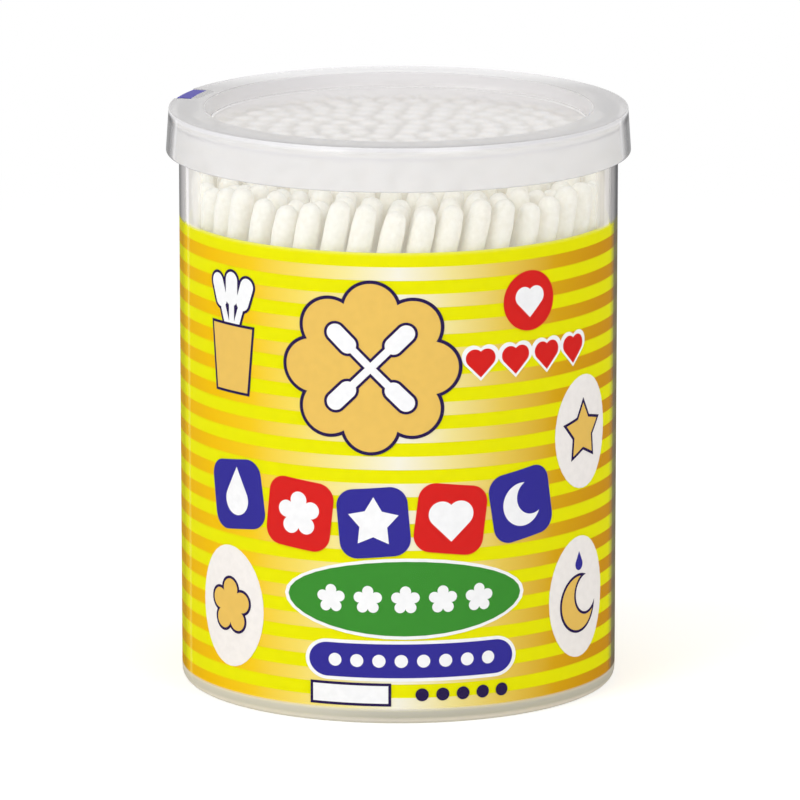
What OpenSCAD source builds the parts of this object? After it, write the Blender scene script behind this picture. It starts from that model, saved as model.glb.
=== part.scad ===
// Clear round tub of two hundred cotton swabs, with a press-on lid and a printed sleeve inside the wall.
// Millimetres, +Z up, the foot stands on z = 0 and the front of the print faces -Y.

/* [Tub] */
// outside diameter of the tub at its mouth
tub_d = 64; // [64:0.1:68]
// height of the tub's rim above the table
tub_h = 84; // [83.9:0.1:90]
// thickness of the clear wall
tub_wall = 1.0; // [0.8:0.05:1.0]
// how much narrower in radius the wall is at the foot
tub_draft = 0.15; // [0:0.05:0.4]
// thickness of the floor
floor_t = 1.1; // [0.8:0.05:1.2]
// height of the hollow under the floor
foot_rise = 0.8; // [0.5:0.05:0.8]
// width of the ring that stands on the table
foot_ring_w = 1.8; // [1.2:0.1:3]
// radius of the rounded outer corner of the foot
foot_corner = 1.8; // [1:0.1:2.4]
// how far the bead of the rim stands out from the wall
rim_bead = 0.3; // [0.2:0.05:0.4]
// height of the bead of the rim
rim_bead_h = 1.1; // [0.8:0.1:1.5]

/* [Lid] */
// thickness of the flat ring on top
land_t = 1.0; // [0.8:0.05:1.4]
// thickness of the skirt
skirt_t = 0.85; // [0.7:0.05:1.1]
// height of the lid's outside, from its lower edge to its top
skirt_h = 6.5; // [6:0.1:9]
// how much wider in radius the skirt is at its lower edge
skirt_flare = 0.4; // [0.1:0.05:0.6]
// clearance in radius between the rim's bead and the inside of the skirt
skirt_clear = 0.35; // [0.3:0.05:0.5]
// clearance in radius between the rim's bead and the crest of the lid's bead
snap_clear = 0.1; // [0.08:0.01:0.15]
// radius of the section of the lid's bead
snap_r = 0.6; // [0.5:0.05:0.7]
// radius on the outer top edge
lid_edge_r = 0.7; // [0.4:0.05:0.9]
// width of the flat ring on top, edges included
land_w = 5.2; // [4.4:0.1:5.8]
// depth of the recess in the top
recess_d = 2.2; // [1.8:0.05:2.3]
// how much narrower in radius the recess is at its bottom
recess_draft = 0.9; // [0.5:0.05:1.2]
// thickness of the panel
panel_t = 0.75; // [0.6:0.05:0.8]
// thickness of the recess wall
plug_t = 0.85; // [0.7:0.05:1]

/* [Label] */
// height of the top edge of the sleeve above the table
label_top = 69.3; // [60:0.1:74]
// thickness of the sheet
sheet_t = 0.2; // [0.15:0.01:0.2]
// thickness of each layer of print
print_t = 0.06; // [0.04:0.01:0.06]
// half of the angle left open between the two ends at the back
seam_half = 4; // [2:0.5:8]
// angle that the lap covers behind each end
lap_over = 7; // [4:0.5:12]
// distance from one stripe to the next
stripe_pitch = 3.955; // [3.6:0.005:4.2]
// width of a printed stripe
stripe_w = 1.95; // [1.2:0.05:2.4]
// distance from the top edge of the sheet to the middle of the first stripe
stripe_first = 3.05; // [2:0.05:4]
// half of the angle of the pale part of each stripe at the front
pale_half = 24; // [12:1:36]
// number of stripes
stripe_count = 17; // [12:1:17]

/* [Swabs] */
// length of a swab
swab_l = 76.1; // [70:0.1:76.1]
// diameter of a stick
stick_d = 1.9; // [1.6:0.05:2.2]
// largest diameter of a bud
bud_d = 3.5; // [3.2:0.05:3.5]
// length of a bud
bud_l = 13; // [10:0.5:14]
// diameter of the round end of a bud
bud_tip_d = 3.1; // [2.8:0.05:3.1]
// how deep a stick goes into its bud
stick_in = 9; // [6:0.5:9]
// clearance between the outer row and the lap of the sheet
row_clear = 0.05; // [0.02:0.01:0.2]
// radius on which the four middle swabs stand
core_r = 2.7; // [2.7:0.05:2.9]

/* [Tape] */
// thickness of the bit of tape left on the lid
tape_t = 0.08; // [0.05:0.01:0.15]
// width of the tape from the lid's outside inwards
tape_w = 2.6; // [1.5:0.1:3.6]
// angle that the tape covers
tape_angle = 12; // [8:1:20]
// where the tape begins, turned from +X
tape_a = 156; // [120:1:170]

/* [Hidden] */
$fn = 48;
e = 0.01;

tub_r = tub_d / 2;
bore_r = tub_r - tub_wall;
floor_top = foot_rise + floor_t;
lid_top = tub_h + land_t;
bead_out_r = tub_r + rim_bead;
skirt_in_r = bead_out_r + skirt_clear;
lid_r = skirt_in_r + skirt_t;
skirt_low = lid_top - skirt_h;
recess_r = lid_r - land_w;
panel_top = lid_top - recess_d;
panel_low = panel_top - panel_t;
snap_crest_r = bead_out_r + snap_clear;
snap_z = tub_h - rim_bead_h - snap_r - 0.4;

// the layers of the sleeve, from the wall inwards
layer_3 = bore_r - print_t;
layer_2 = layer_3 - print_t;
layer_1 = layer_2 - print_t;
sheet_in_r = layer_1 - sheet_t;
lap_in_r = sheet_in_r - sheet_t;

// the rows of swabs, the outer row first
row_n = [44, 41, 34, 29, 22, 16, 10, 4];
row_twist = [31, 35.5, 39, 40, 38, 34, 28, 18];
bud_r = bud_d / 2;
bud_tip_r = bud_tip_d / 2;
stick_r = stick_d / 2;
row_1_r = lap_in_r - row_clear - bud_r;
row_pitch = (row_1_r - core_r) / 7;
function row_r(k) = row_1_r - row_pitch * k;
// a small uneven turn of each end, so that the rows don't look ruled
function wobble(k, q) = (k == 0 ? 0.42 : (k == 7 ? 0 : 0.06)) * 28 / row_r(k) * sin(q);
function base_a(k, i) = 360 * i / row_n[k] + 17 * k - 90;
function top_a(k, i) = base_a(k, i) + row_twist[k] / 2 + wobble(k, 137 * i + 40 * k);
function low_a(k, i) = base_a(k, i) - row_twist[k] / 2 + wobble(k, 211 * i + 70 * k + 50);
function uneven(k) = k < 3 ? 0.7 : 0.35;
function len_of(k, i) = swab_l - (k > 4 ? 0.3 : 0) - uneven(k) * (1 - sin(83 * i + 25 * k));
function on_row(k, a) = [row_r(k) * cos(a), row_r(k) * sin(a)];
function across(k, i) = on_row(k, top_a(k, i)) - on_row(k, low_a(k, i));

// the profile of the wall, the floor and the foot
module tub_profile() {
  foot_r = tub_r - tub_draft;
  difference() {
    union() {
      polygon([
        [0, 0], [foot_r - foot_corner, 0], [foot_r, foot_corner],
        [tub_r, tub_h - rim_bead_h], [bead_out_r, tub_h - rim_bead_h + rim_bead],
        [bead_out_r, tub_h - 0.3], [bead_out_r - 0.3, tub_h], [0, tub_h]
      ]);
      translate([foot_r - foot_corner, foot_corner]) circle(foot_corner);
    }
    translate([-1, floor_top]) square([bore_r + 1, tub_h]);
    translate([-1, -1]) square([foot_r - foot_corner - foot_ring_w + 1, 1 + foot_rise]);
  }
}

module tub() {
  color([0.92, 0.93, 0.9, 0.3]) rotate_extrude() tub_profile();
}

// the lid is one moulding: the flat ring, the skirt with its bead, the recess wall and the panel
module lid_profile() {
  difference() {
    union() {
      polygon([
        [0, panel_low], [recess_r - recess_draft + plug_t, panel_low],
        [recess_r + plug_t, tub_h], [skirt_in_r, tub_h],
        [skirt_in_r + skirt_flare, skirt_low], [lid_r + skirt_flare - 0.25, skirt_low],
        [lid_r + skirt_flare, skirt_low + 0.4], [lid_r, lid_top - lid_edge_r],
        [lid_r - lid_edge_r, lid_top], [0, lid_top]
      ]);
      translate([lid_r - lid_edge_r, lid_top - lid_edge_r]) circle(lid_edge_r);
      translate([snap_crest_r + snap_r, snap_z]) circle(snap_r);
    }
    polygon([
      [-1, panel_top], [recess_r - recess_draft, panel_top],
      [recess_r, lid_top - 0.35], [recess_r + 0.35, lid_top + e], [-1, lid_top + e]
    ]);
  }
}

module lid() {
  color([0.95, 0.95, 0.96, 0.6]) difference() {
    rotate_extrude() lid_profile();
    tape_shape(0.2);
  }
}

// the tape lies flush in the flat ring and goes over its outer edge, which has the radius lid_edge_r;
// beyond is how far the shape goes on outside the lid, for the shallow seat that holds the tape
module tape_shape(beyond) {
  edge_at = [lid_r - lid_edge_r, lid_top - lid_edge_r];
  rotate([0, 0, tape_a]) rotate_extrude(angle = tape_angle) difference() {
    intersection() {
      translate([lid_r - tape_w, lid_top - lid_edge_r * 0.7]) square([tape_w + 2, 3]);
      union() {
        translate([0, lid_top - lid_edge_r]) square([edge_at[0], lid_edge_r + beyond]);
        translate(edge_at) circle(lid_edge_r + beyond);
      }
    }
    translate([0, lid_top - 3]) square([edge_at[0], 3 - tape_t]);
    translate(edge_at) circle(lid_edge_r - tape_t);
  }
}

// a bit of coloured tape left on the flat ring at the left
module seal_tab() {
  color([0.3, 0.27, 0.66]) tape_shape(0);
}

// a ring of the sleeve between two radii, from z0 up, over the angles a0 to a0 + da
module arc_ring(r0, t, z0, h, a0, da) {
  rotate([0, 0, a0]) rotate_extrude(angle = da) translate([r0, z0]) square([t, h]);
}

// a slice of the plane between two radii, over the angles a0 to a0 + da, which is under 180
module arc_flat(r0, r1, a0, da) {
  far = r1 * 4;
  intersection() {
    difference() {
      circle(r1);
      circle(r0);
    }
    polygon([
      [0, 0], far * [cos(a0), sin(a0)], far * [cos(a0 + da / 2), sin(a0 + da / 2)],
      far * [cos(a0 + da), sin(a0 + da)]
    ]);
  }
}

// one sheet rolled inside the wall, its two ends on a lap at the back
module label_sleeve() {
  lap_half = seam_half + lap_over;
  color([0.9, 0.9, 0.04])
    translate([0, 0, floor_top]) linear_extrude(height = label_top - floor_top) union() {
      difference() {
        circle(layer_1);
        circle(sheet_in_r);
        polygon([[0, 0], 99 * [sin(seam_half), cos(seam_half)], 99 * [-sin(seam_half), cos(seam_half)]]);
      }
      arc_flat(lap_in_r, sheet_in_r + sheet_t / 2, 90 - lap_half, 2 * lap_half);
    }
}

function stripe_z(i) = label_top - stripe_first - stripe_pitch * i - stripe_w / 2;

module stripes_pale() {
  color([0.96, 0.93, 0.7])
    for (i = [0 : stripe_count - 1])
      if (stripe_z(i) > floor_top)
        arc_ring(layer_1, print_t, stripe_z(i), stripe_w, 270 - pale_half, 2 * pale_half);
}

module stripes_orange() {
  a = 360 - 2 * pale_half;
  color([0.93, 0.68, 0.05])
    for (i = [0 : stripe_count - 1])
      if (stripe_z(i) > floor_top)
        for (s = [0, 1])
          arc_ring(layer_1, print_t, stripe_z(i), stripe_w,
            s == 0 ? 270 + pale_half : 90 + seam_half, a / 2 - seam_half);
}

// the artwork is drawn for a bore of 31 and a sleeve of 67.4, and follows their sizes
art_r = bore_r / 31;
art_h = (label_top - floor_top) / 67.4;
art_k = min(art_r, art_h);
// widths as printed: the thin dark line, the white edge, and the hair left between two colours
line_w = 0.4;
halo_w = 0.5;
hair = 0.02;
// a width as printed, in the units of the drawing
function art(width) = width / art_k;

// wraps a flat shape on the sleeve: s is the distance along the sheet from the front, z the height
module wrap(s, z, layer) {
  r = bore_r - print_t * (4 - layer);
  intersection() {
    arc_ring(r, print_t, floor_top, label_top - floor_top, 0, 360);
    rotate([0, 0, s / 31 * 180 / PI]) translate([0, 0, floor_top + (z - 1.9) * art_h]) rotate([90, 0, 0])
      linear_extrude(height = bore_r + 2) scale([art_k, art_k]) children();
  }
}

module capsule(l, w) {
  square([l - w, w], center = true);
  for (x = [-1, 1]) translate([x * (l - w) / 2, 0]) circle(w / 2);
}

module oval(a, b) {
  polygon([for (i = [0 : 35]) [a * cos(10 * i), b * sin(10 * i)]]);
}

module heart(w) {
  q = w * 0.29;
  rotate([0, 0, 45]) {
    square([2 * q, 2 * q], center = true);
    translate([q, 0]) circle(q);
    translate([0, q]) circle(q);
  }
}

module star(r) {
  polygon([for (i = [0 : 9]) (i % 2 == 0 ? r : r * 0.55) * [sin(36 * i), cos(36 * i)]]);
}

module drop(r) {
  circle(r);
  polygon([[-r * 0.87, r * 0.5], [r * 0.87, r * 0.5], [0, r * 2.1]]);
}

// in these signs g is how much wider the shape is all round
module flower(r, g) {
  circle(r * 0.6);
  for (i = [0 : 4]) rotate([0, 0, 72 * i + 18]) translate([r * 0.62, 0]) circle(r * 0.38 + g);
}

module moon(r, g) {
  difference() {
    circle(r + g);
    translate([r * 0.5, r * 0.3]) circle(r * 0.8 - g);
  }
}

// a swab seen from the side
module swab_sign(l, g) {
  square([l + 2 * g, 1.1 + 2 * g], center = true);
  for (x = [-1, 1]) translate([x * (l / 2 - 1.6), 0]) capsule(5 + 2 * g, 2.5 + 2 * g);
}

module cloud(g) {
  for (i = [0 : 7]) rotate([0, 0, 45 * i]) translate([8.4, 0]) circle(3.9 + g);
  circle(8.8 + g);
}

// a plate with round corners for the row across the middle
module plate(g) {
  square([10.2 + 2 * g, 5.4], center = true);
  square([5.4, 10.2 + 2 * g], center = true);
  for (x = [-1, 1], y = [-1, 1]) translate([2.6 * x, 2.6 * y]) circle(2.5 + g);
}

module crossed_swabs(g) {
  for (a = [45, 135]) rotate([0, 0, a]) swab_sign(15, g);
}

module tumbler(g) {
  polygon([[-4.2 - g, 2.5 + g], [4.2 + g, 2.5 + g], [3.2 + g, -7 - g], [-3.2 - g, -7 - g]]);
}

// three swabs that stand in the tumbler, the part above its edge
module swabs_in_tumbler(g) {
  difference() {
    for (a = [-20, 0, 20]) rotate([0, 0, a]) translate([0, 2.5]) rotate([0, 0, 90]) swab_sign(14, g);
    translate([0, -25 + 2.9]) square([30, 50], center = true);
  }
}

// each plate of the row: its place along the sheet, its height and its turn
function plate_at(i) = [
  [-26, 31.8, 8], [-14.8, 30.4, -6], [-3.6, 29.8, 5], [7.6, 30.2, -7], [18.8, 31.4, 9]
][i];

module plates(list) {
  for (i = list) wrap(plate_at(i)[0], plate_at(i)[1], 2) rotate([0, 0, plate_at(i)[2]]) plate(0);
}

module on_plate(i, lift) {
  wrap(plate_at(i)[0], plate_at(i)[1] + lift, 3) children();
}

module heart_row() {
  for (i = [0 : 3]) wrap(12 + 5.6 * i, 52.6, 2) children();
}

module print_tan() {
  color([0.91, 0.75, 0.38]) {
    wrap(-4, 52.5, 2) cloud(0);
    wrap(-27, 54, 2) tumbler(0);
    wrap(31.4, 40.2, 3) star(4.2);
    wrap(30.5, 14.8, 3) moon(4, 0);
    wrap(-27.5, 15, 3) flower(4, 0);
  }
}

module print_red() {
  color([0.84, 0.14, 0.13]) {
    plates([1, 3]);
    wrap(20, 61.2, 2) circle(4.4);
    heart_row() heart(4.6);
  }
}

module print_blue() {
  color([0.21, 0.19, 0.58]) {
    plates([0, 2, 4]);
    wrap(2, 9.4, 2) capsule(29, 5);
    wrap(30.5, 20.6, 3) drop(0.9);
  }
}

module print_green() {
  color([0.24, 0.55, 0.2]) wrap(1, 18.6, 2) oval(16.5, 5.5);
}

module print_cream() {
  color([0.95, 0.93, 0.92]) {
    wrap(31.4, 40.2, 2) oval(6.4, 8.4);
    wrap(30.5, 15.8, 2) oval(6.6, 9);
    wrap(-27.5, 15, 2) oval(6.6, 9);
  }
}

module print_white() {
  color([0.96, 0.96, 0.97]) {
    wrap(-4, 52.5, 3) crossed_swabs(0);
    wrap(-27, 54, 2) swabs_in_tumbler(0);
    on_plate(0, -0.8) drop(2.3);
    on_plate(1, 0) flower(3.3, 0);
    on_plate(2, 0) star(3.8);
    on_plate(3, -0.6) heart(6.6);
    on_plate(4, 0) moon(3.2, 0);
    wrap(20, 60.8, 3) heart(5);
    heart_row() difference() {
      heart(4.6 + 2.4 * art(halo_w));
      heart(4.6 + art(hair));
    }
    wrap(1, 18.6, 2) difference() {
      oval(16.5 + art(halo_w), 5.5 + art(halo_w));
      oval(16.5 + art(hair), 5.5 + art(hair));
    }
    wrap(2, 9.4, 2) difference() {
      capsule(29 + 2 * art(halo_w), 5 + 2 * art(halo_w));
      capsule(29 + art(hair), 5 + art(hair));
    }
    for (i = [0 : 4]) wrap(-9.8 + 5.4 * i, 18.4, 3) flower(2.1, 0);
    for (i = [0 : 7]) wrap(-9.2 + 3.2 * i, 9.4, 3) circle(0.95);
    wrap(-7, 4.4, 2) square([11, 2.6], center = true);
  }
}

module print_navy() {
  color([0.17, 0.12, 0.3]) {
    wrap(-4, 52.5, 2) difference() {
      cloud(art(line_w) + 0.1);
      cloud(art(hair));
    }
    wrap(-4, 52.5, 3) difference() {
      crossed_swabs(art(line_w));
      crossed_swabs(art(hair));
    }
    wrap(-27, 54, 2) difference() {
      union() {
        tumbler(art(line_w));
        swabs_in_tumbler(art(line_w));
      }
      tumbler(art(hair));
      swabs_in_tumbler(art(hair));
    }
    wrap(31.4, 40.2, 3) difference() {
      star(4.2 + 2 * art(line_w));
      star(4.2 + art(hair));
    }
    wrap(30.5, 14.8, 3) difference() {
      moon(4, art(line_w));
      moon(4, art(hair));
    }
    wrap(-27.5, 15, 3) difference() {
      flower(4, art(line_w));
      flower(4, art(hair));
    }
    wrap(-7, 4.4, 2) difference() {
      square([11 + 2 * art(line_w), 2.6 + 2 * art(line_w)], center = true);
      square([11 + art(hair), 2.6 + art(hair)], center = true);
    }
    for (i = [0 : 4]) wrap(3.4 + 3 * i, 4.4, 2) circle(0.95);
  }
}

// puts a piece of swab i of row k in its place: its low end on the floor, leaning along its row
module place_swab(k, i) {
  v = across(k, i);
  h = norm(v);
  l = len_of(k, i) - 2 * bud_tip_r;
  p = on_row(k, low_a(k, i));
  translate([p[0], p[1], floor_top + bud_tip_r])
    rotate([0, 0, atan2(v[1], v[0])]) rotate([0, asin(h / l), 0])
      children();
}

// a bud along +Z: round end at the bottom, tapering to the stick at the top, with a hole for it
module bud_body() {
  body_z = bud_tip_r + 2.2;
  neck_r = stick_r + 0.12;
  rotate_extrude() difference() {
    union() {
      intersection() {
        translate([0, bud_tip_r]) circle(bud_tip_r);
        square([bud_tip_r + 1, bud_tip_r]);
      }
      polygon([
        [0, bud_tip_r], [bud_tip_r, bud_tip_r], [bud_r, body_z],
        [bud_r, bud_l - 3.5], [neck_r, bud_l], [0, bud_l]
      ]);
    }
    translate([-1, bud_l - stick_in]) square([stick_r + 1, stick_in + 1]);
  }
}

module sticks_row(k) {
  color([0.96, 0.95, 0.92])
    for (i = [0 : row_n[k] - 1])
      place_swab(k, i)
        translate([0, 0, bud_l - stick_in - bud_tip_r])
          cylinder(r = stick_r, h = len_of(k, i) - 2 * (bud_l - stick_in));
}

module buds_row(k) {
  color([0.97, 0.96, 0.93])
    for (i = [0 : row_n[k] - 1]) {
      place_swab(k, i) translate([0, 0, -bud_tip_r]) bud_body();
      place_swab(k, i)
        translate([0, 0, len_of(k, i) - bud_tip_r]) mirror([0, 0, 1]) bud_body();
    }
}

tub();
lid();
seal_tab();
label_sleeve();
stripes_pale();
stripes_orange();
print_tan();
print_red();
print_blue();
print_green();
print_cream();
print_white();
print_navy();
sticks_row(0);  // sticks_row_1
sticks_row(1);  // sticks_row_2
sticks_row(2);  // sticks_row_3
sticks_row(3);  // sticks_row_4
sticks_row(4);  // sticks_row_5
sticks_row(5);  // sticks_row_6
sticks_row(6);  // sticks_row_7
sticks_row(7);  // sticks_row_8
buds_row(0);  // buds_row_1
buds_row(1);  // buds_row_2
buds_row(2);  // buds_row_3
buds_row(3);  // buds_row_4
buds_row(4);  // buds_row_5
buds_row(5);  // buds_row_6
buds_row(6);  // buds_row_7
buds_row(7);  // buds_row_8
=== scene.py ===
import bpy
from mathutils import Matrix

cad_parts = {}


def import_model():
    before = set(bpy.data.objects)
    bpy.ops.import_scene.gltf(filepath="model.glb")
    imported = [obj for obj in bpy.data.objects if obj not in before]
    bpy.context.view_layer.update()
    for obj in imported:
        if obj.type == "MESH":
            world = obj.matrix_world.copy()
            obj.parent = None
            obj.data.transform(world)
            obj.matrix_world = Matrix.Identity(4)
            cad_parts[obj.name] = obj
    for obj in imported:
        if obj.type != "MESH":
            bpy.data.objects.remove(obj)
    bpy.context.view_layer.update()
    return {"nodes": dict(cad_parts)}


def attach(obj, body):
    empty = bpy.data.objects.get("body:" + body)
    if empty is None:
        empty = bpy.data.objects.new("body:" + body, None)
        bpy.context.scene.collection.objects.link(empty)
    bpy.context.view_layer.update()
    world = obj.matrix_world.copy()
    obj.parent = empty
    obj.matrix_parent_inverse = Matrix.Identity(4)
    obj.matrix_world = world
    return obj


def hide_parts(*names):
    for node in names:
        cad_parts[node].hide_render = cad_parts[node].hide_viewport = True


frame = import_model()

import math

import bmesh
import bpy
from mathutils import Vector, noise

MM = 0.001
nodes = frame["nodes"]

# Sizes from the source, in millimetres.
TUB_R, TUB_H, WALL, DRAFT = 32.0, 84.0, 1.0, 0.15
FLOOR_T, FOOT_RISE, FOOT_RING, FOOT_CORNER = 1.1, 0.8, 1.8, 1.8
RIM_BEAD, RIM_BEAD_H = 0.3, 1.1
LAND_T, SKIRT_T, SKIRT_H, FLARE = 1.0, 0.85, 6.5, 0.4
SKIRT_CLEAR, SNAP_CLEAR, SNAP_R, EDGE_R = 0.35, 0.1, 0.6, 0.7
LAND_W, RECESS_D, RECESS_DRAFT, PANEL_T, PLUG_T = 5.2, 2.2, 0.9, 0.75, 0.85
SHEET_TOP, SHEET_T, PRINT_T = 69.3, 0.2, 0.06
TAPE_W, TAPE_A, TAPE_ANGLE = 2.6, 156, 12
SWAB_L, STICK_D, BUD_D, BUD_L, BUD_TIP_D = 76.1, 1.9, 3.5, 13.0, 3.1
ROW_CLEAR, CORE_R = 0.05, 2.7
ROW_N = [44, 41, 34, 29, 22, 16, 10, 4]
ROW_TWIST = [31, 35.5, 39, 40, 38, 34, 28, 18]

BORE_R = TUB_R - WALL
FLOOR_TOP = FOOT_RISE + FLOOR_T
LID_TOP = TUB_H + LAND_T
SKIRT_IN = TUB_R + RIM_BEAD + SKIRT_CLEAR
LID_R = SKIRT_IN + SKIRT_T
RECESS_R = LID_R - LAND_W
PANEL_R = RECESS_R - RECESS_DRAFT
PANEL_TOP = LID_TOP - RECESS_D
PANEL_LOW = PANEL_TOP - PANEL_T


def linear(c):
    """A colour as it is seen, 0 to 1, as the shader wants it."""
    return tuple(x / 12.92 if x <= 0.04045 else ((x + 0.055) / 1.055) ** 2.4 for x in c)


# Camera: at the photograph's angle, from far off.
AIM = Vector((0.00022, 0.0, 0.0412))
CAM_DISTANCE, CAM_TILT, CAM_LENS = 1.371, 12.1, 421.0
cam_data = bpy.data.cameras.new("camera")
cam_data.lens = CAM_LENS
cam_data.sensor_width = 36.0
cam_data.clip_start = 0.05
cam_data.clip_end = 20.0
camera = bpy.data.objects.new("camera", cam_data)
bpy.context.scene.collection.objects.link(camera)
tilt = math.radians(CAM_TILT)
camera.location = AIM + CAM_DISTANCE * Vector((0.0, -math.cos(tilt), math.sin(tilt)))
camera.rotation_euler = (math.radians(90.0 - CAM_TILT), 0.0, 0.0)
bpy.context.scene.camera = camera
bpy.context.scene.view_settings.view_transform = "Standard"


class Shader:
    """A node material with short calls for its nodes."""

    def __init__(self, name):
        self.m = bpy.data.materials.new(name)
        self.m.use_nodes = True
        self.t = self.m.node_tree
        self.bsdf = self.t.nodes["Principled BSDF"]
        self.out = self.t.nodes["Material Output"]

    def add(self, kind, **values):
        n = self.t.nodes.new("ShaderNode" + kind)
        for k, v in values.items():
            setattr(n, k, v)
        return n

    def link(self, a, b):
        self.t.links.new(a, b)

    def set(self, **values):
        for k, v in values.items():
            self.bsdf.inputs[k.replace("_", " ")].default_value = v

    def place(self, scale=(1, 1, 1)):
        """Object coordinates in metres, stretched."""
        c, m = self.add("TexCoord"), self.add("Mapping")
        m.inputs["Scale"].default_value = scale
        self.link(c.outputs["Object"], m.inputs["Vector"])
        return m.outputs["Vector"]

    def noise(self, scale, detail=3.0, stretch=(1, 1, 1)):
        n = self.add("TexNoise")
        n.inputs["Scale"].default_value = scale
        n.inputs["Detail"].default_value = detail
        self.link(self.place(stretch), n.inputs["Vector"])
        return n.outputs["Fac"]

    def ramp(self, fac, stops):
        r = self.add("ValToRGB")
        while len(r.color_ramp.elements) < len(stops):
            r.color_ramp.elements.new(0.5)
        for el, (pos, c) in zip(r.color_ramp.elements, stops):
            el.position = pos
            el.color = (*c, 1.0)
        self.link(fac, r.inputs["Fac"])
        return r.outputs["Color"]

    def grey(self, fac, low, high):
        """A value from low to high as fac goes from 0 to 1."""
        r = self.add("MapRange")
        r.inputs["To Min"].default_value = low
        r.inputs["To Max"].default_value = high
        self.link(fac, r.inputs["Value"])
        return r.outputs["Result"]

    def bump(self, height, strength, distance):
        b = self.add("Bump")
        b.inputs["Strength"].default_value = strength
        b.inputs["Distance"].default_value = distance
        self.link(height, b.inputs["Height"])
        self.link(b.outputs["Normal"], self.bsdf.inputs["Normal"])

    def lets_light_in(self, tint, surface):
        """Shadow and diffuse rays pass straight through, tinted, as they do in thin clear plastic."""
        path, clear = self.add("LightPath"), self.add("BsdfTransparent")
        clear.inputs["Color"].default_value = (*tint, 1.0)
        passing = self.math("MAXIMUM", path.outputs["Is Shadow Ray"], path.outputs["Is Diffuse Ray"])
        self.link(self.mix(passing, surface, clear.outputs[0]), self.out.inputs["Surface"])

    def mix(self, fac, a, b):
        """Surface a where fac is 0, b where it is 1."""
        n = self.add("MixShader")
        for socket, v in zip((n.inputs["Fac"], n.inputs[1], n.inputs[2]), (fac, a, b)):
            self.link(v, socket)
        return n.outputs[0]

    def math(self, operation, a, b=None, clamp=False):
        """One arithmetic node; a and b are sockets or numbers."""
        n = self.add("Math", operation=operation, use_clamp=clamp)
        for i, v in enumerate((a, b)):
            if v is None:
                continue
            if isinstance(v, (int, float)):
                n.inputs[i].default_value = v
            else:
                self.link(v, n.inputs[i])
        return n.outputs[0]

    def times(self, first, *others):
        """The product of sockets or numbers."""
        for v in others:
            first = self.math("MULTIPLY", first, v)
        return first

    def distance(self, x, y):
        """The distance from the axis."""
        return self.math("SQRT", self.math("ADD", self.times(x, x), self.times(y, y)))

    def between(self, value, low, high):
        """0 at low, 1 at high, a smooth step between. With low above high it falls as the value grows."""
        r = self.add("MapRange", interpolation_type="SMOOTHSTEP")
        r.inputs["From Min"].default_value = low
        r.inputs["From Max"].default_value = high
        self.link(value, r.inputs["Value"])
        return r.outputs["Result"]

    def zone(self, length, low, high):
        """As between, with its limits in mm."""
        return self.between(length, low * MM, high * MM)

    def blend(self, fac, a, b):
        """Colour a where fac is 0, b where it is 1."""
        m = self.add("Mix", data_type="RGBA")
        for socket, v in zip((m.inputs[0], m.inputs[6], m.inputs[7]), (fac, a, b)):
            if isinstance(v, tuple):
                socket.default_value = (*v, 1.0)
            else:
                self.link(v, socket)
        return m.outputs[2]

    def xyz(self):
        n = self.add("SeparateXYZ")
        self.link(self.place(), n.inputs[0])
        return n.outputs

    def facing(self):
        n = self.add("LayerWeight")
        n.inputs["Blend"].default_value = 0.5
        return n.outputs["Facing"]


# Up to this height in mm the foot is mostly matt and painted in bands: a light line is a painted highlight and
# grey bands are painted shade, as the clear foot shows them. Its colour from the ground, 0, up to there, 1.
FOOT_PAINTED_TOP = 2.65
FOOT_PAINTED_BANDS = [(0, (0.92, 0.90, 0.84)), (0.10, (0.88, 0.855, 0.79)), (0.25, (0.94, 0.905, 0.845)),
              (0.36, (0.86, 0.83, 0.765)), (0.46, (0.755, 0.74, 0.67)), (0.70, (0.755, 0.74, 0.685)),
              (0.86, (0.78, 0.76, 0.71)), (1, (0.89, 0.87, 0.81))]


def clear_body(s):
    """Refraction with a low gloss, and full reflection where the light can't leave the plastic."""
    fresnel = s.add("Fresnel")
    fresnel.inputs["IOR"].default_value = 1.5
    turned = s.math("GREATER_THAN", fresnel.outputs[0], 0.95)
    share = s.times(fresnel.outputs[0], s.math("ADD", 0.08, s.times(turned, 0.92)))
    rough = s.grey(s.noise(60.0), 0.01, 0.04)
    relief = s.add("Bump")
    relief.inputs["Strength"].default_value = 0.1
    relief.inputs["Distance"].default_value = 0.0003
    s.link(s.noise(45.0, 1.0, (1, 1, 0.3)), relief.inputs["Height"])
    through, gloss = s.add("BsdfRefraction"), s.add("BsdfGlossy")
    through.inputs["Color"].default_value = (0.98, 0.98, 0.97, 1.0)
    through.inputs["IOR"].default_value = 1.5
    s.link(s.blend(turned, (0.9, 0.9, 0.9), linear((0.86, 0.86, 0.86))), gloss.inputs["Color"])
    for n in (through, gloss):
        s.link(rough, n.inputs["Roughness"])
        s.link(relief.outputs[0], n.inputs["Normal"])
    return s.mix(share, through.outputs[0], gloss.outputs[0])


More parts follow.
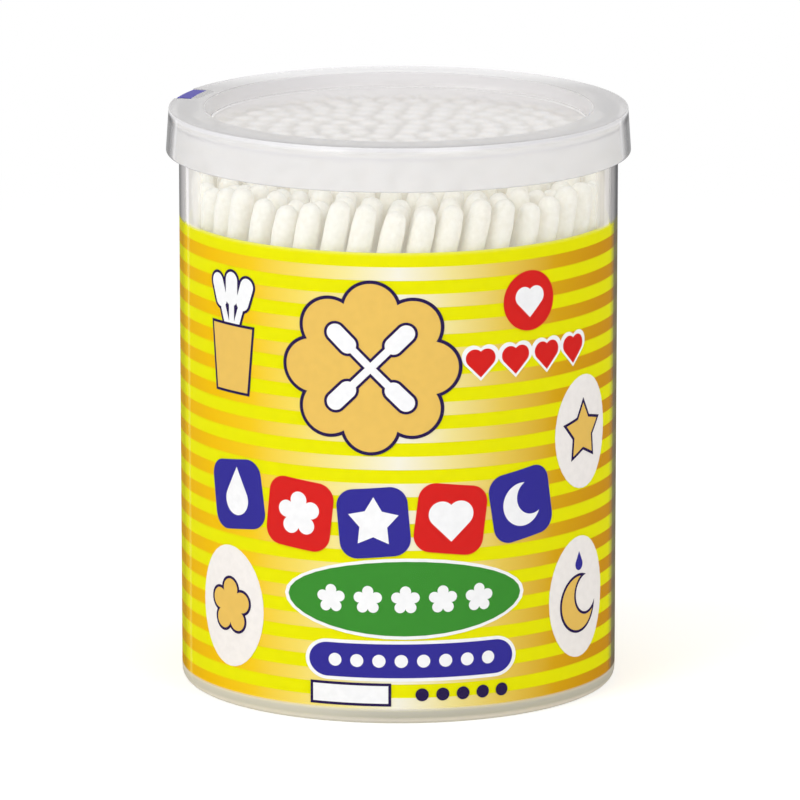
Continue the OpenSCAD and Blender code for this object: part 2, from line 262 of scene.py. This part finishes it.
def wall_painted_light(s, facing, out, above, left, right):
    """Colour and share of the hazy and painted light parts: above the sheet a slight haze on the outer face, a
    painted reflection near the outline, a painted highlight line at the left and a lighter painted line at the
    right, and along the sheet a thin painted highlight line at the left."""
    painted_glint = s.times(s.between(facing, 0.702, 0.718), s.between(facing, 0.765, 0.745), left)
    haze_and_painted_light_left = s.blend(painted_glint, linear((0.88, 0.87, 0.85)), linear((0.93, 0.92, 0.92)))
    haze_and_painted_light_right = s.blend(s.between(facing, 0.65, 0.675),
                         linear((0.845, 0.825, 0.785)), linear((0.93, 0.915, 0.90)))
    # Along the sheet the painted highlight is yellowish white. Above it the haze and painted light are pale.
    colour = s.blend(above, linear((1.0, 0.96, 0.5)), s.blend(right, haze_and_painted_light_left, haze_and_painted_light_right))
    painted_reflection = s.times(s.between(facing, 0.52, 0.64), s.between(facing, 0.735, 0.72), 0.8)
    haze = s.times(s.zone(out, BORE_R + 0.2, BORE_R + 0.5), 0.24)
    share_above = s.math("MAXIMUM", s.math("MAXIMUM", painted_reflection, s.times(painted_glint, 0.95)), haze)
    share_along = s.times(s.between(facing, 0.70, 0.72), s.between(facing, 0.75, 0.73), left, 0.25)
    return colour, s.blend(above, share_along, share_above)


def wall_painted_shade(s, facing, above, right):
    """Colour and share of the painted shade at the outline: grey above the sheet and, at the right, along it.
    Along the sheet's left side it is nearly black with a low share, which deepens the yellow."""
    painted_shade_left = s.blend(s.between(facing, 0.78, 0.93),
                        linear((0.71, 0.70, 0.70)), linear((0.47, 0.47, 0.47)))
    painted_shade_right = s.blend(s.between(facing, 0.78, 0.89),
                         linear((0.64, 0.63, 0.63)), linear((0.37, 0.37, 0.38)))
    painted_shade_along = s.blend(right, (0.03, 0.02, 0.01), linear((0.42, 0.41, 0.375)))
    colour = s.blend(above, painted_shade_along, s.blend(right, painted_shade_left, painted_shade_right))
    share_above = s.blend(right, s.between(facing, 0.758, 0.785), s.between(facing, 0.725, 0.765))
    share_along = s.blend(right, s.times(s.between(facing, 0.74, 0.84), 0.29),
                          s.times(s.between(facing, 0.735, 0.86), 0.9))
    return colour, s.blend(above, share_along, s.times(share_above, 0.93))


def clear_wall():
    """Clear plastic with a haze, painted highlights and a painted reflection, painted shade at the outline and
    a foot painted in bands of highlight and shade.
    """
    s = Shader("clear_wall")
    x, y, z = s.xyz()
    right, left = s.zone(x, -10, 10), s.zone(x, 10, -10)
    above = s.zone(z, SHEET_TOP - 0.5, SHEET_TOP + 0.3)
    facing = s.facing()
    surface = clear_body(s)
    # The painted light and the painted shade are matt layers over the clear body.
    for colour, share in (wall_painted_light(s, facing, s.distance(x, y), above, left, right),
                          wall_painted_shade(s, facing, above, right)):
        tone = s.add("BsdfDiffuse")
        s.link(colour, tone.inputs["Color"])
        surface = s.mix(share, surface, tone.outputs[0])

    # Painted light: the foot is lighter towards the left, the side of the key lamp.
    cloud_and_painted_light = s.ramp(s.math("DIVIDE", z, FOOT_PAINTED_TOP * MM, True), [(p, linear(c)) for p, c in FOOT_PAINTED_BANDS])
    s.link(s.blend(s.times(s.zone(x, 0, -14), 0.22), cloud_and_painted_light, linear((0.98, 0.965, 0.90))),
           s.bsdf.inputs["Base Color"])
    s.set(Roughness=0.3, Specular_IOR_Level=0.3)
    low = s.times(s.zone(z, FOOT_PAINTED_TOP, FOOT_PAINTED_TOP - 0.4), 0.85)
    s.lets_light_in((0.97, 0.97, 0.965), s.mix(low, surface, s.bsdf.outputs[0]))
    return s.m


def lid_relief(s, z):
    """The skirt's upper end is rounded in, from a little below its edge, and the lid is slightly uneven."""
    rise = s.math("MAXIMUM", s.times(s.math("SUBTRACT", z, (LID_TOP - 1.8) * MM), 1 / MM), 0.0)
    low = s.math("MINIMUM", rise, 1.0)
    beyond = s.times(s.math("SUBTRACT", rise, low), 2.0)
    round_in = s.add("Bump", invert=True)
    round_in.inputs["Strength"].default_value = 1.0
    round_in.inputs["Distance"].default_value = 0.00018
    s.link(s.math("ADD", s.times(low, low), beyond), round_in.inputs["Height"])
    uneven = s.add("Bump")
    uneven.inputs["Strength"].default_value = 0.08
    uneven.inputs["Distance"].default_value = 0.0003
    s.link(s.noise(70.0, 2.0), uneven.inputs["Height"])
    s.link(round_in.outputs[0], uneven.inputs["Normal"])
    s.link(uneven.outputs[0], s.bsdf.inputs["Normal"])


def milky_lid():
    """Milky plastic: the flat ring is cloudier than the skirt, and the panel lets the tips show softly. The
    flat ring carries painted shade at the front, lighter towards the back, and the skirt painted shade towards
    its sides. Where the skirt turns away it has a painted highlight, a band of less clear plastic, and painted
    shade at its very edge."""
    s = Shader("milky_lid")
    x, y, z = s.xyz()
    out, facing, right = s.distance(x, y), s.facing(), s.zone(x, -10, 10)

    # Where things are: the skirt, the rounded rim over it, the flat ring, the recess wall and the panel.
    skirt = s.times(s.zone(out, LID_R - 0.7, LID_R - 0.2), s.zone(z, LID_TOP - 0.2, LID_TOP - 0.8))
    land = s.times(s.zone(out, RECESS_R - 0.3, RECESS_R + 0.2), s.zone(z, LID_TOP - 0.12, LID_TOP - 0.03))
    rim = s.times(s.zone(out, LID_R - 0.9, LID_R - 0.4), s.zone(z, LID_TOP - 0.9, LID_TOP - 0.5))
    rim = s.math("SUBTRACT", rim, land, True)
    wall = s.times(s.zone(out, RECESS_R + 0.3, RECESS_R - 0.1), s.zone(z, PANEL_TOP, PANEL_TOP + 0.4))
    panel = s.zone(out, PANEL_R + 0.3, PANEL_R - 0.2)
    # Painted shade: the skirt is darker where it turns to the sides.
    side = s.times(s.between(facing, 0.42, 0.66), skirt)
    # Painted highlight: a lighter band where the skirt turns away, made by less clear plastic. Painted shade:
    # grey to near black at the skirt's very edge.
    line = s.times(s.between(facing, 0.71, 0.73), s.between(facing, 0.76, 0.74), skirt)
    painted_edge_shade = s.times(s.blend(right, s.between(facing, 0.745, 0.77), s.between(facing, 0.722, 0.785)), skirt)

    body = s.ramp(s.noise(35.0),
                  [(0.3, linear((0.90, 0.895, 0.905))), (0.7, linear((0.92, 0.915, 0.925)))])
    # Painted shade: the flat ring is darker at the front and lighter towards the back.
    ring = s.blend(s.zone(y, 12, 28), linear((0.735, 0.725, 0.725)), linear((0.965, 0.96, 0.965)))
    # The colour of the painted shade at the skirt's very edge.
    edge = s.blend(s.between(facing, 0.75, 0.86), linear((0.68, 0.675, 0.68)), linear((0.2, 0.195, 0.2)))
    tone = s.blend(wall, body, linear((0.90, 0.89, 0.90)))
    tone = s.blend(panel, tone, linear((0.885, 0.875, 0.88)))
    tone = s.blend(side, tone, linear((0.87, 0.865, 0.875)))
    tone = s.blend(rim, tone, linear((0.92, 0.915, 0.925)))
    tone = s.blend(land, tone, ring)
    s.link(s.blend(painted_edge_shade, tone, edge), s.bsdf.inputs["Base Color"])

    cloud_and_painted_light = s.math("SUBTRACT", s.times(land, 0.25), s.times(panel, 0.02))
    for part, amount in ((skirt, 0.05), (rim, 0.25), (s.math("ADD", painted_edge_shade, line), 0.3)):
        cloud_and_painted_light = s.math("ADD", cloud_and_painted_light, s.times(part, amount))
    s.link(s.math("SUBTRACT", 0.5, cloud_and_painted_light, True), s.bsdf.inputs["Transmission Weight"])
    rough = s.math("ADD", s.grey(s.noise(90.0), 0.15, 0.19), s.times(wall, 0.15))
    s.link(rough, s.bsdf.inputs["Roughness"])
    s.set(IOR=1.45)
    lid_relief(s, z)

    # The skirt glows a little with the light behind it.
    glow = s.add("BsdfTranslucent")
    glow.inputs["Color"].default_value = (*linear((0.95, 0.945, 0.95)), 1.0)
    milky = s.mix(s.times(s.math("SUBTRACT", skirt, painted_edge_shade, True), 0.1), s.bsdf.outputs[0], glow.outputs[0])

    # The faces towards the tub are clear, so the view bends once, at the outer faces.
    across = s.math("SUBTRACT", out, s.times(s.math("SUBTRACT", z, (PANEL_TOP - 0.4) * MM), 0.42))
    inside = s.times(s.zone(across, PANEL_R + 0.3, PANEL_R + 0.5), s.zone(z, TUB_H + 0.1, TUB_H),
                     s.zone(out, LID_R - 0.2, LID_R - 0.4))
    below = s.times(s.zone(z, PANEL_TOP - 0.2, PANEL_TOP - 0.5),
                    s.zone(out, RECESS_R + 1.2, RECESS_R + 0.7))
    thin = s.add("BsdfTransparent")
    thin.inputs["Color"].default_value = (0.98, 0.98, 0.98, 1.0)
    s.lets_light_in((0.93, 0.93, 0.93), s.mix(s.math("MAXIMUM", inside, below), milky, thin.outputs[0]))
    return s.m


def ink(name, colour, rough=0.42):
    """Printed film: an even colour with a faint press grain."""
    s = Shader(name)
    low = linear([x * 0.98 for x in colour])
    s.link(s.ramp(s.noise(900.0, 4.0), [(0.35, low), (0.65, linear(colour))]), s.bsdf.inputs["Base Color"])
    s.link(s.grey(s.noise(400.0), rough - 0.05, rough + 0.05), s.bsdf.inputs["Roughness"])
    s.set(Specular_IOR_Level=0.02)
    s.bump(s.noise(1500.0, 2.0), 0.05, 0.00002)
    return s.m


# The colour of the stripes by the angle from the front, in degrees, to the right as one looks at it.
STRIPE_STOPS = [
    (-180, (0.86, 0.60, 0.05)), (-80, (0.89, 0.68, 0.05)), (-58, (0.93, 0.74, 0.03)),
    (-42, (0.94, 0.78, 0.12)), (-28, (0.94, 0.84, 0.38)), (-14, (0.94, 0.89, 0.60)),
    (0, (0.94, 0.925, 0.86)), (14, (0.93, 0.87, 0.58)), (28, (0.90, 0.78, 0.34)),
    (46, (0.84, 0.64, 0.08)), (64, (0.81, 0.58, 0.07)), (80, (0.79, 0.55, 0.08)),
    (180, (0.82, 0.57, 0.05)),
]


def stripes():
    """Near white at the front, through cream, to orange at the sides, by the angle round the axis."""
    s = Shader("stripe_ink")
    x, y, z = s.xyz()
    turn = s.math("ARCTAN2", x, s.times(y, -1.0))
    part = s.math("ADD", s.math("DIVIDE", turn, 2 * math.pi), 0.5)
    s.link(s.ramp(part, [(0.5 + a / 360, linear(c)) for a, c in STRIPE_STOPS]), s.bsdf.inputs["Base Color"])
    s.link(s.grey(s.noise(400.0), 0.37, 0.47), s.bsdf.inputs["Roughness"])
    s.set(Specular_IOR_Level=0.02)
    s.bump(s.noise(1500.0, 2.0), 0.05, 0.00002)
    return s.m


def cotton():
    s = Shader("cotton")
    s.link(s.ramp(s.noise(1400.0, 5.0),
                  [(0.3, linear((0.93, 0.92, 0.885))), (0.7, linear((0.975, 0.968, 0.945)))]),
           s.bsdf.inputs["Base Color"])
    s.set(Roughness=0.95, Sheen_Weight=0.35, Sheen_Roughness=0.6, Specular_IOR_Level=0.1,
          Subsurface_Weight=0.6, Subsurface_Scale=0.0022)
    # Painted light: a faint warm glow, though the cotton is no lamp, lightens the shade between the buds.
    s.bsdf.inputs["Emission Color"].default_value = (1.0, 0.93, 0.74, 1.0)
    s.bsdf.inputs["Emission Strength"].default_value = 0.08
    s.bsdf.inputs["Sheen Tint"].default_value = (1.0, 0.99, 0.97, 1.0)
    s.bsdf.inputs["Subsurface Radius"].default_value = (1.0, 0.9, 0.8)
    s.bump(s.noise(2600.0, 5.0), 0.35, 0.00012)
    return s.m


def paper():
    s = Shader("stick_paper")
    s.link(s.ramp(s.noise(800.0, 3.0, (1, 1, 0.15)),
                  [(0.3, linear((0.93, 0.925, 0.9))), (0.7, linear((0.97, 0.965, 0.95)))]),
           s.bsdf.inputs["Base Color"])
    s.set(Roughness=0.7)
    s.bump(s.noise(1800.0, 3.0, (1, 1, 0.1)), 0.15, 0.00005)
    return s.m


def arc(cx, cz, r, a0, a1, n=6):
    """Points on an arc in the (radius, height) plane, angles in degrees."""
    return [(cx + r * math.cos(math.radians(a0 + (a1 - a0) * i / n)),
             cz + r * math.sin(math.radians(a0 + (a1 - a0) * i / n))) for i in range(n + 1)]


def mesh_object(name, bm, material):
    """An object in the scene with the mesh that was built."""
    bmesh.ops.recalc_face_normals(bm, faces=bm.faces)
    me = bpy.data.meshes.new(name)
    bm.to_mesh(me)
    bm.free()
    o = bpy.data.objects.new(name, me)
    bpy.context.scene.collection.objects.link(o)
    me.materials.append(material)
    return o


def lathe(name, profile, steps, material, seat=None):
    """Turns a profile in mm round the Z axis, on which its two ends lie, each as one vertex. A seat is a pair
    of angles in degrees and a function that moves a point between them."""
    bm = bmesh.new()
    rings = []
    for r, z in profile:
        if r < 1e-6:
            rings.append([bm.verts.new((0, 0, z * MM))])
            continue
        ring = []
        for i in range(steps):
            a = 360 * i / steps
            rr, zz = seat[1](r, z) if seat and seat[0][0] - 0.1 < a < seat[0][1] + 0.1 else (r, z)
            x, y = rr * MM * math.cos(math.radians(a)), rr * MM * math.sin(math.radians(a))
            ring.append(bm.verts.new((x, y, zz * MM)))
        rings.append(ring)
    for a, b in zip(rings, rings[1:]):
        for i in range(steps):
            j = (i + 1) % steps
            if len(a) == 1:
                f = (a[0], b[j], b[i])
            elif len(b) == 1:
                f = (a[i], a[j], b[0])
            else:
                f = (a[i], a[j], b[j], b[i])
            bm.faces.new(f).smooth = True
    return mesh_object(name, bm, material)


def soften(points, radii, n=7):
    """Rounds the corners of a profile. A radius of 0 keeps the point."""
    out = []
    count = len(points)
    for i, (p, r) in enumerate(zip(points, radii)):
        if r <= 0:
            out.append(p)
            continue
        a, b, c = Vector(points[i - 1]), Vector(p), Vector(points[(i + 1) % count])
        u, v = (a - b).normalized(), (c - b).normalized()
        half = math.acos(max(-1.0, min(1.0, u.dot(v)))) / 2
        cut = min(r / math.tan(half), (a - b).length * 0.49, (c - b).length * 0.49)
        p0, p1 = b + u * cut, b + v * cut
        keep = min(0.06, cut * 0.3)
        out.append(tuple(p0 + u * keep))
        for k in range(n + 1):
            t = k / n
            out.append(tuple(p0 * (1 - t) ** 2 + b * 2 * t * (1 - t) + p1 * t ** 2))
        out.append(tuple(p1 + v * keep))
    return out


# The wall's inner face lies this far inwards, in the sleeve, so that the sheet shows without a gap.
INTO_SLEEVE = 0.25


def tub():
    bead_r = TUB_R + RIM_BEAD
    foot_r = TUB_R - DRAFT
    inner = BORE_R - INTO_SLEEVE
    points = [
        (0, FOOT_RISE), (foot_r - FOOT_CORNER - FOOT_RING, FOOT_RISE),
        (foot_r - FOOT_CORNER - FOOT_RING, 0), (foot_r, 0),
        (TUB_R, TUB_H - RIM_BEAD_H), (bead_r, TUB_H - RIM_BEAD_H + RIM_BEAD),
        (bead_r, TUB_H), (inner, TUB_H), (inner, FLOOR_TOP), (0, FLOOR_TOP),
    ]
    radii = [0, 0.3, 0.35, FOOT_CORNER, 0.2, 0.15, 0.3, 0.2, 0.35, 0]
    o = lathe("tub_wall", soften(points, radii), 192, clear_wall())
    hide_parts("tub")
    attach(o, "tub")


TAPE_DEPTH = 0.09


def tape_seat(r, z):
    """The tape lies flush, so the lid's surface goes down under it."""
    cr, cz = LID_R - EDGE_R, LID_TOP - EDGE_R
    if z < LID_TOP - EDGE_R * 0.7 or r < LID_R - TAPE_W - 0.01:
        return r, z
    if r <= cr:
        return r, z - TAPE_DEPTH
    k = (EDGE_R - TAPE_DEPTH) / math.hypot(r - cr, z - cz)
    return cr + (r - cr) * k, cz + (z - cz) * k


def lid():
    low = LID_TOP - SKIRT_H
    crest = TUB_R + RIM_BEAD + SNAP_CLEAR
    snap_z = TUB_H - RIM_BEAD_H - SNAP_R - 0.4
    reach = math.sqrt(SNAP_R ** 2 - (SNAP_R - 0.35) ** 2)
    points = [
        (0, PANEL_LOW), (PANEL_R + PLUG_T, PANEL_LOW), (RECESS_R + PLUG_T, TUB_H), (SKIRT_IN, TUB_H),
        (SKIRT_IN + 0.1, snap_z + reach), (crest, snap_z), (SKIRT_IN + 0.18, snap_z - reach),
        (SKIRT_IN + FLARE, low), (LID_R + FLARE, low), (LID_R, LID_TOP - 0.56), (LID_R, LID_TOP),
        (LID_R - TAPE_W, LID_TOP), (LID_R - TAPE_W - 0.04, LID_TOP), (RECESS_R, LID_TOP),
        (PANEL_R, PANEL_TOP), (0, PANEL_TOP),
    ]
    radii = [0, 0.4, 0.3, 0.3, 0.25, 0.4, 0.25, 0.15, 0.35, 0, EDGE_R, 0, 0, 0.45, 0.5, 0]
    o = lathe("lid_shell", soften(points, radii), 240, milky_lid(),
              ((TAPE_A, TAPE_A + TAPE_ANGLE), tape_seat))
    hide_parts("lid")
    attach(o, "lid")


LAP_IN_R = BORE_R - 3 * PRINT_T - 2 * SHEET_T
ROW_1_R = LAP_IN_R - ROW_CLEAR - BUD_D / 2


def row_r(k):
    return ROW_1_R - (ROW_1_R - CORE_R) / 7 * k


def sin_deg(a):
    return math.sin(math.radians(a))


def swab_ends(k, i):
    """Where swab i of row k stands: its low end's centre, its direction and its length, in mm."""
    size = 0.42 if k == 0 else (0.0 if k == 7 else 0.06)
    base = 360 * i / ROW_N[k] + 17 * k - 90
    top = base + ROW_TWIST[k] / 2 + size * 28 / row_r(k) * sin_deg(137 * i + 40 * k)
    low = base - ROW_TWIST[k] / 2 + size * 28 / row_r(k) * sin_deg(211 * i + 70 * k + 50)
    a, b = (Vector((math.cos(math.radians(x)), math.sin(math.radians(x)), 0)) * row_r(k) for x in (low, top))
    length = SWAB_L - (0.3 if k > 4 else 0) - (0.7 if k < 3 else 0.35) * (1 - sin_deg(83 * i + 25 * k))
    flat = b - a
    run = length - BUD_TIP_D
    rise = math.sqrt(run ** 2 - flat.length ** 2)
    start = a + Vector((0, 0, FLOOR_TOP + BUD_TIP_D / 2))
    return start, (flat + Vector((0, 0, rise))).normalized(), length


BUD_SIDES = 14
TIP_R, BUD_R, NECK_R = BUD_TIP_D / 2, BUD_D / 2, STICK_D / 2 + 0.12


def bud_profile():
    """(distance from the tip, radius): a blunt round tip, a fuller body and a taper on to the stick."""
    dome = [(TIP_R * (1 - math.cos(math.radians(a))), TIP_R * math.sin(math.radians(a)))
            for a in (12, 28, 46, 66)]
    body = [(TIP_R, TIP_R * 0.995), (TIP_R + 1.1, BUD_R * 0.955), (TIP_R + 2.2, BUD_R * 0.99),
            (5.5, BUD_R), (7.6, BUD_R * 0.99), (BUD_L - 3.5, BUD_R * 0.95), (BUD_L - 2.2, BUD_R * 0.84),
            (BUD_L - 1.1, BUD_R * 0.72), (BUD_L - 0.35, NECK_R * 1.05), (BUD_L, NECK_R * 0.93)]
    return dome + body


def buds(k, material):
    """The cotton buds of one row, as one mesh of closed forms, each a little different."""
    bm = bmesh.new()
    profile = bud_profile()
    for i in range(ROW_N[k]):
        start, way, length = swab_ends(k, i)
        side = way.orthogonal().normalized()
        third = way.cross(side)
        for end in (0, 1):
            tip = start - way * TIP_R if end == 0 else start - way * TIP_R + way * length
            sign = 1 if end == 0 else -1
            seed = Vector((k * 7.3 + end * 3.1, i * 1.7, 0.0))
            top = bm.verts.new((tip * MM)[:])
            rings = []
            for z, r in profile:
                ring = []
                for s in range(BUD_SIDES):
                    a = 2 * math.pi * (s + 0.3 * z) / BUD_SIDES
                    d = side * math.cos(a) + third * math.sin(a)
                    wave = noise.noise(seed + Vector((math.cos(a), math.sin(a), z * 0.45)))
                    fine = noise.noise(seed * 2 + Vector((2.6 * math.cos(a), 2.6 * math.sin(a), z * 1.6)))
                    rr = r * (1 + 0.028 * wave + 0.014 * fine - 0.012)
                    ring.append(bm.verts.new(((tip + way * sign * z + d * rr) * MM)[:]))
                rings.append(ring)
            for s in range(BUD_SIDES):
                t = (s + 1) % BUD_SIDES
                bm.faces.new((top, rings[0][t], rings[0][s]) if sign < 0 else (top, rings[0][s], rings[0][t]))
                for a, b in zip(rings, rings[1:]):
                    f = (a[s], a[t], b[t], b[s])
                    bm.faces.new(f if sign < 0 else f[::-1])
            bm.faces.new(rings[-1] if sign < 0 else rings[-1][::-1])
    for f in bm.faces:
        f.smooth = True
    o = mesh_object(f"cotton_row_{k + 1}", bm, material)
    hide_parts(f"buds_row_{k + 1}")
    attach(o, "tub")


def repaint(node, material):
    me = nodes[node].data
    me.materials.clear()
    me.materials.append(material)


tub()
lid()
cotton_material, paper_material = cotton(), paper()
for row in range(8):
    buds(row, cotton_material)
    repaint(f"sticks_row_{row + 1}", paper_material)

repaint("label_sleeve", ink("label_film", (0.91, 0.90, 0.02)))
stripe_material = stripes()
repaint("stripes_pale", stripe_material)
repaint("stripes_orange", stripe_material)
INKS = {
    "tan": (0.91, 0.75, 0.38), "red": (0.84, 0.14, 0.13), "blue": (0.21, 0.19, 0.58),
    "green": (0.24, 0.55, 0.2), "cream": (0.95, 0.93, 0.92), "white": (0.96, 0.96, 0.97),
    "navy": (0.17, 0.12, 0.3),
}
for part, colour in INKS.items():
    repaint("print_" + part, ink("ink_" + part, colour))
repaint("seal_tab", ink("tape_film", (0.3, 0.27, 0.66), 0.3))


def floor():
    """A matt floor that looks white farther out, where it meets the background."""
    me = bpy.data.meshes.new("floor")
    me.from_pydata([(-3, -3, 0), (3, -3, 0), (3, 3, 0), (-3, 3, 0)], [], [(0, 1, 2, 3)])
    o = bpy.data.objects.new("floor", me)
    bpy.context.scene.collection.objects.link(o)
    s = Shader("floor")
    s.set(Base_Color=(0.85, 0.85, 0.85, 1.0), Roughness=0.9, Specular_IOR_Level=0.0)
    x, y, z = s.xyz()
    far = s.zone(s.distance(x, y), 120, 400)
    path, glow, add, white = s.add("LightPath"), s.add("Emission"), s.add("AddShader"), s.add("Emission")
    glow.inputs["Strength"].default_value = 0.4
    s.link(s.bsdf.outputs[0], add.inputs[0])
    s.link(glow.outputs[0], add.inputs[1])
    looks = s.mix(far, add.outputs[0], white.outputs[0])
    seen = s.math("MAXIMUM", path.outputs["Is Camera Ray"], path.outputs["Is Transmission Ray"])
    s.link(s.mix(seen, s.bsdf.outputs[0], looks), s.out.inputs["Surface"])
    me.materials.append(s.m)


def world():
    """White where it is seen, also by reflection or through plastic, and grey as a light."""
    w = bpy.data.worlds.new("studio")
    bpy.context.scene.world = w
    w.use_nodes = True
    t = w.node_tree
    back = t.nodes["Background"]
    back.inputs["Color"].default_value = (0.47, 0.47, 0.475, 1.0)
    white = t.nodes.new("ShaderNodeBackground")
    white.inputs["Color"].default_value = (1, 1, 1, 1)
    path, mix = t.nodes.new("ShaderNodeLightPath"), t.nodes.new("ShaderNodeMixShader")
    seen, also = t.nodes.new("ShaderNodeMath"), t.nodes.new("ShaderNodeMath")
    seen.operation = also.operation = "MAXIMUM"
    t.links.new(path.outputs["Is Camera Ray"], seen.inputs[0])
    t.links.new(path.outputs["Is Transmission Ray"], seen.inputs[1])
    t.links.new(seen.outputs[0], also.inputs[0])
    t.links.new(path.outputs["Is Glossy Ray"], also.inputs[1])
    t.links.new(also.outputs[0], mix.inputs["Fac"])
    t.links.new(back.outputs[0], mix.inputs[1])
    t.links.new(white.outputs[0], mix.inputs[2])
    t.links.new(mix.outputs[0], t.nodes["World Output"].inputs["Surface"])


def lamp(name, place, size, power, glossy):
    """A lamp aimed at the part's middle. Without glossy it lights the part and isn't reflected in it."""
    data = bpy.data.lights.new(name, "AREA")
    data.shape = "RECTANGLE"
    data.size, data.size_y = size
    data.energy = power
    o = bpy.data.objects.new(name, data)
    bpy.context.scene.collection.objects.link(o)
    o.location = place
    o.rotation_euler = (Vector((0, 0, 0.045)) - Vector(place)).to_track_quat("-Z", "Y").to_euler()
    o.visible_glossy = glossy


floor()
world()
# The key and the fill stay out of the reflections, and two narrow lamps give the streaks.
lamp("key", (-0.90, -0.63, 0.5), (0.95, 0.85), 5.7, False)
lamp("fill", (0.90, -0.63, 0.45), (0.85, 0.85), 4.2, False)
lamp("top", (0.0, -0.1, 0.9), (0.7, 0.7), 1.4, True)
lamp("streak_left", (-0.84, -0.70, 0.78), (0.9, 0.2), 2.6, True)
lamp("streak_right", (0.52, -0.96, 0.78), (0.55, 0.2), 1.5, True)
